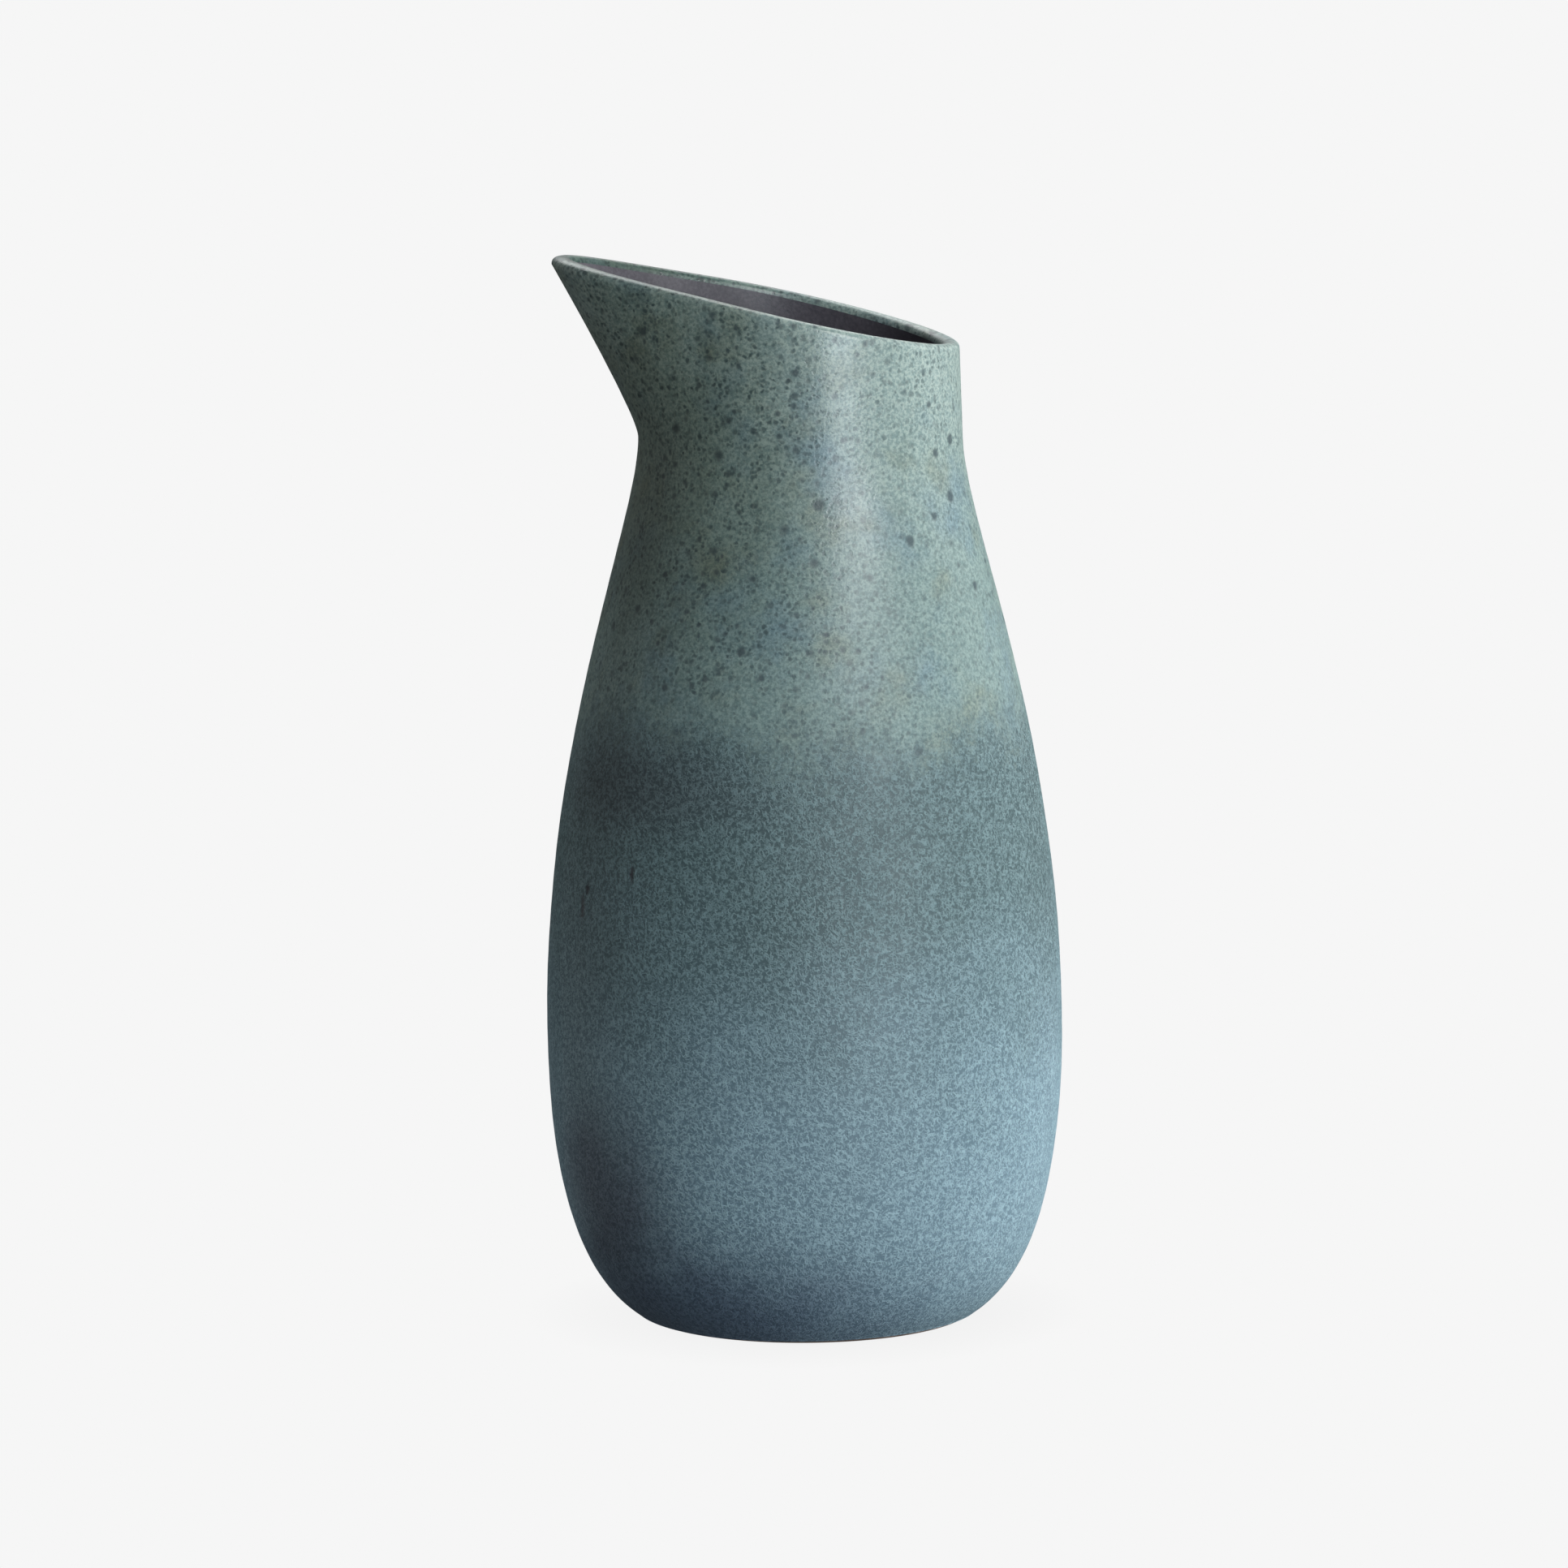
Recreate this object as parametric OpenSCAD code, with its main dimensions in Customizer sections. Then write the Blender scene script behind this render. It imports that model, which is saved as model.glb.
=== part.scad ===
// Glazed stoneware pitcher with a slanted mouth and a pulled beak spout.
// The origin is the centre of the foot on the table, +Z is up and the spout points to -X.
// Every surface is the outer, glazed surface moved inwards by a depth, so the clay and the
// glazes lie face to face whatever the sizes are.

/* [Body] */
// Widest diameter of the body
body_d = 120; // [100:1:150]
// Height of the widest part of the body
belly_z = 68; // [52:1:90]
// Diameter of the base where it meets the table
base_d = 77.5; // [62:0.5:94]
// Diameter of the throat, where the neck is luted on
throat_d = 75; // [60:0.5:92]
// Height of the throat
throat_z = 206; // [170:1:250]

/* [Neck and spout] */
// Diameter of the round part of the rim
rim_d = 74; // [60:0.5:92]
// Height of the tip of the spout above the throat
spout_rise = 42; // [34:0.5:52]
// Height of the back of the rim above the throat
back_rise = 21.6; // [14:0.2:30]
// How far the spout stands out past the round part of the rim
spout_reach = 20; // [8:0.5:26]
// Slimness of the beak
beak_slimness = 12; // [6:1:20]
// Upward bow of the rim between its back and the spout
rim_bow = 0.2; // [0:0.1:2]

/* [Walls] */
// Thickness of the clay wall
clay_t = 3.4; // [2.6:0.1:5]
// Thickness of each glaze
glaze_t = 0.4; // [0.3:0.05:0.6]
// Thickness of the clay floor inside the foot ring
floor_t = 5; // [4:0.5:8]
// Height of the rounded lip
lip_h = 1.7; // [1.2:0.1:2.4]

/* [Foot] */
// Height of the foot ring
foot_h = 3; // [2:0.5:5]
// Width of the flat face that the foot ring stands on
foot_w = 4.5; // [3:0.5:8]
// Height of the clay left bare above the table
bare_h = 1.2; // [0.8:0.1:1.6]

/* [Glazing] */
// Height of the line where the second glaze starts
dip_z = 136; // [90:1:150]
// Flat sides round the neck, and round the glazes on it
sides = 48; // [40:4:64]

/* [Hidden] */

wall_t = clay_t + 2 * glaze_t;
// Curve handles of the side, below and above the widest part
flare = [11.8, 6.6];
belly_pull = 42.7;
shoulder_pull = 69;
throat_pull = 19.6;
// Tightness of the bend under the spout, and how much the spout hollows
bend = 0.05;
spout_curl = 1.08;
// Angle by which the neck's columns crowd towards the spout
crowding = 24;
// Squareness of the lip, 2 is a plain ellipse
lip_square = 2.4;
// Roundness of the bend between the inside floor and the wall
floor_round = 5;
// Rounding of the foot's lower edges
foot_round = 0.6;
// Steps along the side below and above the widest part, and over the other stretches
low_steps = 12;
high_steps = 14;
neck_steps = 8;
lip_steps = 6;
floor_steps = 3;
// A polygon of this many sides clears the round body that it goes round
clear_round = 1 / cos(180 / sides);

// The side of the pitcher: radius and height along two curves that meet at the widest part.
base_r = base_d / 2;
body_r = body_d / 2;
low = [[base_r, 0], [base_r + flare[0], flare[1]], [body_r, belly_z - belly_pull], [body_r, belly_z]];
high = [[body_r, belly_z], [body_r, belly_z + shoulder_pull],
        [throat_d / 2, throat_z - throat_pull], [throat_d / 2, throat_z]];

function unit(v) = v / norm(v);
function mix(a, b, t) = a + (b - a) * t;
function backwards(list) = [for (i = [len(list) - 1:-1:0]) list[i]];
function bezier(p, t) =
    pow(1 - t, 3) * p[0] + 3 * pow(1 - t, 2) * t * p[1] + 3 * (1 - t) * t * t * p[2] + pow(t, 3) * p[3];
function bezier_way(p, t) =
    pow(1 - t, 2) * (p[1] - p[0]) + 2 * (1 - t) * t * (p[2] - p[1]) + t * t * (p[3] - p[2]);

// A place on the side runs from 0 at the table to 1 at the widest part and 2 at the throat.
function side(u) = u <= 1 ? bezier(low, u) : bezier(high, u - 1);
function side_way(u) = unit(u <= 1 ? bezier_way(low, u) : bezier_way(high, u - 1));
function side_in(u, depth) = side(u) + depth * [-side_way(u)[1], side_way(u)[0]];

// The place on the side, at a depth, whose height is z, found by halving.
function place_at(z, depth, from = 0, to = 2, tries = 24) =
    let (half = (from + to) / 2)
    tries == 0 ? half
    : side_in(half, depth)[1] < z ? place_at(z, depth, half, to, tries - 1)
    : place_at(z, depth, from, half, tries - 1);

// Every layer has its points at the same places, so that they lie face to face.
places = [for (i = [0:low_steps]) i / low_steps, for (i = [1:high_steps]) 1 + i / high_steps];
function places_between(from, to) =
    let (apart = 0.2 / (low_steps + high_steps))
    [from, for (u = places) if (u > from + apart && u < to - apart) u, to];
function side_path(from, to, depth) = [for (u = places_between(from, to)) side_in(u, depth)];

// The inside, from the middle of the floor up to the throat. The floor lifts into the wall.
function lift(a, b, k) = (a + b + sqrt(pow(a - b, 2) + k * k)) / 2;
function inside_at(u, depth) =
    let (p = side_in(u, wall_t - depth), floor_z = foot_h + floor_t + glaze_t - depth)
    u >= 1 ? p : [p[0], lift(p[1], floor_z, floor_round * (1 - u))];
function inside_path(depth) =
    let (edge = inside_at(0, depth), middle_z = foot_h + floor_t + glaze_t - depth)
    [for (t = [0:1 / floor_steps:0.99]) [edge[0] * t, mix(middle_z, edge[1], pow(t, 4))],
     for (u = places) inside_at(u, depth)];

// The neck: s is 0 at the throat and 1 under the lip, and a is the angle from the back.
function beak(angle) = pow((1 - cos(angle)) / 2, beak_slimness);
function rim_radius(angle) = rim_d / 2 + spout_reach * beak(angle);
function rim_height(angle) =
    let (share = (rim_d / 2 - rim_radius(angle) * cos(angle)) / (rim_d + spout_reach))
    throat_z - lip_h + mix(back_rise, spout_rise, share) + rim_bow * 4 * share * (1 - share);
function spout_share(s) = pow((1 + bend) * s * s / (s + bend), spout_curl);
function neck_face(a, s) =
    let (angle = a + crowding * s * sin(a),
         r = mix(throat_d, rim_d, s) / 2 + spout_reach * beak(angle) * spout_share(s))
    [r * cos(angle), r * sin(angle), mix(throat_z, rim_height(angle), s)];

// The level way out of the neck's wall. It is longer where the wall leans, so that a depth
// of 1 along it is a thickness of 1.
function neck_out(a, s) =
    let (d = 0.001,
         round_way = neck_face(a + 1, s) - neck_face(a - 1, s),
         up_way = neck_face(a, s + d) - neck_face(a, max(0, s - d)),
         out = unit(cross(round_way, up_way)))
    [out[0], out[1], 0] / (pow(out[0], 2) + pow(out[1], 2));
function neck_in(a, s, depth) = neck_face(a, s) - depth * neck_out(a, s);

// The lip goes over the top of the wall, from its outer face at a turn of 0 to its inner face at 180.
function rounded(c) = sign(c) * pow(abs(c), 2 / lip_square);
function lip_in(a, turn, depth) =
    neck_in(a, 1, wall_t / 2)
    + (wall_t / 2 - depth) * rounded(cos(turn)) * neck_out(a, 1)
    + [0, 0, (lip_h - depth) * rounded(sin(turn))];

// Rings of points, each with one point for every side of the neck.
turns = [for (i = [0:sides - 1]) 360 * i / sides];
function round_rings(path, swell = 1) =
    [for (p = path) [for (a = turns) [swell * p[0] * cos(a), swell * p[0] * sin(a), p[1]]]];
// Neck rings crowd together just above the throat, where the spout bends out.
function neck_rings(depth, from = 0) =
    [for (i = [from:neck_steps]) [for (a = turns) neck_in(a, pow(i / neck_steps, 1.4), depth)]];
function lip_rings(depth, from = 1, to = lip_steps - 1) =
    [for (i = [from:to]) [for (a = turns) lip_in(a, 180 * i / lip_steps, depth)]];

// Joins rings into a solid whose ends meet each other, or are each closed with a flat face.
// Each four-sided patch is split along its shorter diagonal, so that layers split alike.
module loft(rings, ends_meet) {
    count = len(rings);
    last = (count - 1) * sides;
    points = [for (ring = rings) each ring];
    walls = [for (j = [0:ends_meet ? count - 1 : count - 2], i = [0:sides - 1])
        let (k = (i + 1) % sides, here = j * sides, next = (j + 1) % count * sides,
             a = here + i, b = here + k, c = next + i, d = next + k)
        each norm(points[a] - points[d]) < norm(points[b] - points[c])
            ? [[a, c, d], [a, d, b]] : [[a, c, b], [b, c, d]]];
    caps = [[for (i = [0:sides - 1]) i], [for (i = [sides - 1:-1:0]) last + i]];
    polyhedron(points, ends_meet ? walls : concat(walls, caps), convexity = 8);
}

// Turned ring of bare clay that the pitcher stands on.
module foot_ring() {
    stand_out = base_r - glaze_t - foot_round;
    stand_in = stand_out - foot_w;
    color("#6b5d55")
        rotate_extrude($fn = 128)
            polygon(concat(
                [[stand_in - foot_round, foot_h], [stand_in - foot_round, foot_round],
                 [stand_in, 0], [stand_out, 0]],
                side_path(place_at(foot_round, glaze_t), place_at(foot_h, glaze_t), glaze_t)));
}

// Thrown clay body: the floor, the belly and the shoulder, up to the throat.
module body() {
    color("#7a6a60")
        rotate_extrude($fn = 128)
            polygon(concat(
                [[0, foot_h]],
                side_path(place_at(foot_h, glaze_t), 2, glaze_t),
                backwards(inside_path(glaze_t))));
}

// Clay neck with the slanted mouth and the pulled spout, luted to the body at the throat.
module neck_and_spout() {
    color("#7a6a60")
        loft(concat(neck_rings(glaze_t), lip_rings(glaze_t),
                    backwards(neck_rings(wall_t - glaze_t))), true);
}

// Blue glaze on the lower part of the outside. It ends just above the table.
module base_glaze() {
    bare = place_at(bare_h, glaze_t);
    dip = place_at(dip_z, glaze_t);
    color("#5f7d85")
        rotate_extrude($fn = 128)
            polygon(concat(side_path(bare, dip, 0), backwards(side_path(bare, dip, glaze_t))));
}

// Speckled green glaze, from the dip line up the outside and over the lip.
module top_glaze() {
    below_throat = 2 - 1 / high_steps;
    dip = place_at(dip_z, glaze_t);
    function layer(depth) = concat(
        round_rings(side_path(dip, below_throat, depth), clear_round),
        neck_rings(depth), lip_rings(depth, to = lip_steps));
    color("#8ba59c")
        loft(concat(layer(0), backwards(layer(glaze_t))), true);
}

// Dark glaze that lines the inside, from the floor up to the lip.
module liner_glaze() {
    function layer(depth) = concat(
        round_rings([for (p = inside_path(depth)) if (p[0] > 0) p]),
        neck_rings(wall_t - depth, from = 1));
    color("#4a4a50")
        loft(concat(layer(glaze_t), backwards(layer(0))), false);
}

foot_ring();
body();
neck_and_spout();
base_glaze();
top_glaze();
liner_glaze();
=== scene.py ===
"""Glazed stoneware pitcher with a slanted mouth and a pulled beak spout.

The pitcher is clay sections fired into one, with glaze layers fused on them. Every piece is a
closed shell on a grid: one parameter runs along its profile and the other runs round the
pitcher, and each layer is the outer glazed surface moved inwards by a depth. Lengths are in
metres, +Z is up, the origin is the centre of the foot and the spout points to -X.
"""
import logging
import math
from abc import ABC, abstractmethod
from dataclasses import dataclass, field
from enum import Enum

import bpy
import numpy as np
from mathutils import Matrix, Vector


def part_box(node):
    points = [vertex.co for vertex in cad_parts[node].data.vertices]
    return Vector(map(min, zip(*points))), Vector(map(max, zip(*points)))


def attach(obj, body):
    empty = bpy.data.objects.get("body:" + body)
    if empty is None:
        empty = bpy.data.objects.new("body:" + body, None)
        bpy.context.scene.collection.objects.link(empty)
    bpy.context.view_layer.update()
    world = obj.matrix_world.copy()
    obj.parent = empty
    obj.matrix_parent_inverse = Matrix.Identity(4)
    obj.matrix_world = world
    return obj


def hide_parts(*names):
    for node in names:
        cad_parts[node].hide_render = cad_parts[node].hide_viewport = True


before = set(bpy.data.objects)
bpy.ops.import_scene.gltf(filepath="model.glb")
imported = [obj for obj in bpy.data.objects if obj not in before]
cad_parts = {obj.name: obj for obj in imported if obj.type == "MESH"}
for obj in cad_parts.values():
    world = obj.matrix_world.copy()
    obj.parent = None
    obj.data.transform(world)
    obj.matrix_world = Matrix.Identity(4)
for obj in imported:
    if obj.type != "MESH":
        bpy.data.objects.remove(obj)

LOG = logging.getLogger("pitcher")
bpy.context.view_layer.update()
MM = 0.001
BODY = "root"
FULL_TURN = 2 * math.pi
NO_PLACE = (0.0, 0.0, 0.0)
LIP_ATTRIBUTE = "near_lip"
# Place on the side where the neck starts.
THROAT = 2.0


class Slot(Enum):
    """Material slots of the record."""

    BARE_CLAY = "bare_clay"
    STONEWARE = "stoneware"
    BLUE_GLAZE = "blue_glaze"
    SPECKLED_GLAZE = "speckled_glaze"
    DARK_GLAZE = "dark_glaze"


class Ends(Enum):
    """How the first and the last ring of a shell are closed."""

    JOINED = "joined to each other"
    POLES = "each closed with a point"


# ---------------------------------------------------------------- form


def bezier(handles: np.ndarray, t: np.ndarray) -> np.ndarray:
    """Cubic curve (1-t)^3 a + 3 (1-t)^2 t b + 3 (1-t) t^2 c + t^3 d.

    Args:
        handles: the four points a, b, c and d.
        t: places along the curve, 0 to 1, of any shape.

    Returns:
        Points, with one axis more than t.
    """
    t = np.clip(t, 0.0, 1.0)[..., None]
    s = 1.0 - t
    a, b, c, d = handles
    return s**3 * a + 3 * s * s * t * b + 3 * s * t * t * c + t**3 * d


def bezier_way(handles: np.ndarray, t: np.ndarray) -> np.ndarray:
    """Direction of the cubic curve: (1-t)^2 (b-a) + 2 (1-t) t (c-b) + t^2 (d-c).

    Args:
        handles: the four points a, b, c and d.
        t: places along the curve, 0 to 1, of any shape.

    Returns:
        Unit vectors, with one axis more than t.
    """
    t = np.clip(t, 0.0, 1.0)[..., None]
    s = 1.0 - t
    a, b, c, d = handles
    way = s * s * (b - a) + 2 * s * t * (c - b) + t * t * (d - c)
    return way / np.linalg.norm(way, axis=-1, keepdims=True)


def smooth_step(low: float, high: float, value: np.ndarray) -> np.ndarray:
    """Rises from 0 at low to 1 at high as 3 t^2 - 2 t^3."""
    t = np.clip((value - low) / (high - low), 0.0, 1.0)
    return t * t * (3 - 2 * t)


@dataclass(frozen=True)
class PitcherForm:
    """The outer surface of the pitcher, and every layer under it at a depth.

    A place on the side runs from 0 at the table to 1 at the widest part and 2 at the throat.
    A share of the neck runs from 0 at the throat to 1 under the lip. A turn of the lip runs
    from 0 on its outer face to pi on its inner face. Angles are radians from the back of the
    rim, which is +X, anticlockwise from above.
    """

    body_radius: float
    throat_height: float
    spout_rise: float
    tip_radius: float
    foot_height: float
    glaze: float
    base_radius: float = 38.75 * MM
    belly_height: float = 68 * MM
    throat_radius: float = 37.5 * MM
    rim_radius: float = 37 * MM
    back_rise: float = 21.6 * MM
    rim_bow: float = 0.2 * MM
    lip_height: float = 1.7 * MM
    clay: float = 3.4 * MM
    floor: float = 5 * MM
    flare_out: float = 11.8 * MM
    flare_up: float = 6.6 * MM
    belly_pull: float = 42.7 * MM
    shoulder_pull: float = 69 * MM
    throat_pull: float = 19.6 * MM
    meeting: float = 136 * MM
    beak_slimness: float = 12
    bend: float = 0.05
    spout_curl: float = 1.08
    crowding: float = math.radians(24)
    lip_square: float = 2.4
    floor_round: float = 5 * MM

    @classmethod
    def from_frame(cls) -> "PitcherForm":
        """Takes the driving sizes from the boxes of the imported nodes.

        Returns:
            The form.
        """
        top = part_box("top_glaze")
        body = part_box("body")
        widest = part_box("base_glaze")[1][0]
        return cls(
            body_radius=widest,
            throat_height=body[1][2],
            spout_rise=top[1][2] - body[1][2],
            tip_radius=-top[0][0],
            foot_height=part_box("foot_ring")[1][2],
            glaze=widest - body[1][0],
        )

    @property
    def wall(self) -> float:
        """Thickness of the clay with a glaze on each side."""
        return self.clay + 2 * self.glaze

    @property
    def spout_reach(self) -> float:
        """How far the spout stands out past the round part of the rim."""
        return self.tip_radius - self.rim_radius

    def side(self, place: np.ndarray, depth: np.ndarray | float = 0.0) -> np.ndarray:
        """Radius and height on the side: two cubic curves moved inwards along their normal.

        Args:
            place: 0 at the table, 1 at the widest part, 2 at the throat.
            depth: distance under the outer surface, broadcast against place.

        Returns:
            Array whose last axis is radius and height.
        """
        low = np.array([
            (self.base_radius, 0.0),
            (self.base_radius + self.flare_out, self.flare_up),
            (self.body_radius, self.belly_height - self.belly_pull),
            (self.body_radius, self.belly_height),
        ])
        high = np.array([
            (self.body_radius, self.belly_height),
            (self.body_radius, self.belly_height + self.shoulder_pull),
            (self.throat_radius, self.throat_height - self.throat_pull),
            (self.throat_radius, self.throat_height),
        ])
        place = np.asarray(place, float)
        upper = (place > 1.0)[..., None]
        point = np.where(upper, bezier(high, place - 1), bezier(low, place))
        way = np.where(upper, bezier_way(high, place - 1), bezier_way(low, place))
        inwards = np.stack([-way[..., 1], way[..., 0]], axis=-1)
        return point + np.asarray(depth)[..., None] * inwards

    def place_at(self, height: float, depth: float = 0.0) -> float:
        """Place on the side, at a depth, whose height is the one given."""
        places = np.linspace(0.0, THROAT, 4001)
        return float(np.interp(height, self.side(places, depth)[:, 1], places))

    def even_places(self, start: float, stop: float, count: int) -> np.ndarray:
        """Places on the side at equal lengths along it.

        Args:
            start: first place.
            stop: last place.
            count: number of places.

        Returns:
            Array of count places.
        """
        fine = np.linspace(start, stop, 2001)
        steps = np.linalg.norm(np.diff(self.side(fine), axis=0), axis=1)
        length = np.concatenate([[0.0], np.cumsum(steps)])
        return np.interp(np.linspace(0.0, length[-1], count), length, fine)

    def inside(self, place: np.ndarray, depth: np.ndarray | float = 0.0) -> np.ndarray:
        """Radius and height on the inside, which is the side one wall further in.

        Below the widest part the height z is lifted off the floor b as
        (z + b + sqrt((z - b)^2 + k^2)) / 2, with k fading to 0 at the widest part.

        Args:
            place: 0 at the table, 1 at the widest part, 2 at the throat.
            depth: distance under the inner surface, broadcast against place.

        Returns:
            Array whose last axis is radius and height.
        """
        point = self.side(place, self.wall - depth)
        floor = self.foot_height + self.floor + self.glaze - depth
        blend = self.floor_round * np.clip(1.0 - place, 0.0, None)
        height = point[..., 1]
        lifted = (height + floor + np.sqrt((height - floor) ** 2 + blend**2)) / 2
        height = np.where(np.asarray(place) < 1.0, lifted, height)
        return np.stack([point[..., 0], height], axis=-1)

    def inside_floor(self, share: np.ndarray, depth: float = 0.0) -> np.ndarray:
        """Radius and height on the inside floor, which rises as the fourth power of the share.

        Args:
            share: 0 in the middle of the floor, 1 where the wall starts.
            depth: distance under the inner surface.

        Returns:
            Array whose last axis is radius and height.
        """
        edge = self.inside(np.array(0.0), depth)
        middle = self.foot_height + self.floor + self.glaze - depth
        return np.stack([edge[0] * share, middle + (edge[1] - middle) * share**4], axis=-1)

    def beak(self, angle: np.ndarray) -> np.ndarray:
        """1 at the spout and 0 round the rest: ((1 - cos angle) / 2) to the power of its slimness."""
        return ((1 - np.cos(angle)) / 2) ** self.beak_slimness

    def neck_face(self, angle: np.ndarray, share: np.ndarray) -> np.ndarray:
        """Outer face of the neck, whose rim slants up along a shallow bow to the spout.

        The radius goes from the throat's to the rim's and the beak is added to it as
        (1 + bend) share^2 / (share + bend), raised to the curl. The height goes from the
        throat to the rim along straight lines.

        Args:
            angle: direction round the neck, broadcast against share.
            share: 0 at the throat, 1 under the lip.

        Returns:
            Points, with one axis more than angle and share have together.
        """
        angle, share = np.broadcast_arrays(angle, share)
        angle = angle + self.crowding * share * np.sin(angle)
        beak = self.spout_reach * self.beak(angle)
        bent = ((1 + self.bend) * share**2 / (share + self.bend)) ** self.spout_curl
        radius = self.throat_radius + (self.rim_radius - self.throat_radius) * share + beak * bent
        slant = (self.rim_radius - (self.rim_radius + beak) * np.cos(angle)) / (
            self.rim_radius + self.tip_radius)
        rise = self.back_rise + (self.spout_rise - self.back_rise) * slant
        rise = rise + self.rim_bow * 4 * slant * (1 - slant) - self.lip_height
        height = self.throat_height + rise * share
        return np.stack([radius * np.cos(angle), radius * np.sin(angle), height], axis=-1)

    def neck_out(self, angle: np.ndarray, share: np.ndarray) -> np.ndarray:
        """Level way out of the neck's wall: its normal's level part over that part's square.

        Args:
            angle: direction round the neck.
            share: 0 at the throat, 1 under the lip.

        Returns:
            Vectors along which a step of 1 is a thickness of 1.
        """
        aside, up = math.radians(1.0), 0.001
        round_way = self.neck_face(angle + aside, share) - self.neck_face(angle - aside, share)
        below = np.maximum(0.0, share - up)
        up_way = self.neck_face(angle, share + up) - self.neck_face(angle, below)
        normal = np.cross(round_way, up_way)
        normal /= np.linalg.norm(normal, axis=-1, keepdims=True)
        level = normal * np.array([1.0, 1.0, 0.0])
        return level / (level**2).sum(axis=-1, keepdims=True)

    def neck(
        self, angle: np.ndarray, share: np.ndarray, depth: np.ndarray | float = 0.0
    ) -> np.ndarray:
        """Neck's outer face moved in by a depth along its level way out."""
        return self.neck_face(angle, share) - np.asarray(depth)[..., None] * self.neck_out(angle, share)

    def lip(self, angle: np.ndarray, turn: np.ndarray, depth: float = 0.0) -> np.ndarray:
        """Lip over the top of the wall: half an ellipse with squared shoulders.

        The way out is cos turn and the way up is sin turn, each to the power of 2 over the
        squareness with its sign kept.

        Args:
            angle: direction round the rim, broadcast against turn.
            turn: 0 on the outer face, pi on the inner face.
            depth: distance under the glazed surface.

        Returns:
            Points, with one axis more than angle and turn have together.
        """
        angle, turn = np.broadcast_arrays(angle, turn)
        whole = np.ones_like(angle)

        def squared(c: np.ndarray) -> np.ndarray:
            """Keeps the sign of c and raises its size to 2 over the squareness."""
            return np.sign(c) * np.abs(c) ** (2 / self.lip_square)

        half = self.wall / 2
        out = self.neck_out(angle, whole)
        across = ((half - depth) * squared(np.cos(turn)))[..., None] * out
        up = (self.lip_height - depth) * squared(np.maximum(np.sin(turn), 0.0))
        rise = up[..., None] * np.array([0.0, 0.0, 1.0])
        return self.neck(angle, whole, half) + across + rise


def turned(profile: np.ndarray, angle: np.ndarray) -> np.ndarray:
    """Carries radius and height round the axis: x = r cos a, y = r sin a.

    Args:
        profile: radius and height along the last axis, one row per ring, and one column per
            angle or a single one.
        angle: directions round the axis.

    Returns:
        Points, one row per ring and one column per angle.
    """
    if profile.ndim == 2:
        profile = profile[:, None, :]
    radius, height = profile[..., 0], profile[..., 1]
    height = height + np.zeros_like(angle)
    return np.stack([radius * np.cos(angle), radius * np.sin(angle), height], axis=-1)


@dataclass(frozen=True)
class HandMarks:
    """Unevenness that the hands and the wheel leave in the surface."""

    sway: float = 0.10 * MM
    dents: float = 0.045 * MM
    rings: float = 0.012 * MM
    ring_pitch: float = 7 * MM

    def relief(self, angle: np.ndarray, height: np.ndarray) -> np.ndarray:
        """How far the surface stands out.

        It is a slow sway of two and three lobes that turns with the height, soft dents of
        five and nine lobes, and throwing rings that wind round as a spiral.

        Args:
            angle: directions round the axis.
            height: heights above the table.

        Returns:
            Array of lengths, broadcast from angle and height.
        """
        slow = np.sin(2 * angle + height / (70 * MM)) + 0.6 * np.sin(3 * angle - height / (45 * MM) + 1)
        dents = np.sin(5 * angle + height / (17 * MM)) * np.sin(height / (13 * MM) + 2)
        dents = dents + np.sin(9 * angle - height / (21 * MM) + 4) * np.sin(height / (8 * MM))
        rings = np.sin(FULL_TURN * height / self.ring_pitch + angle)
        return self.sway * slow + self.dents * dents + self.rings * rings


# ---------------------------------------------------------------- meshes


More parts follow.
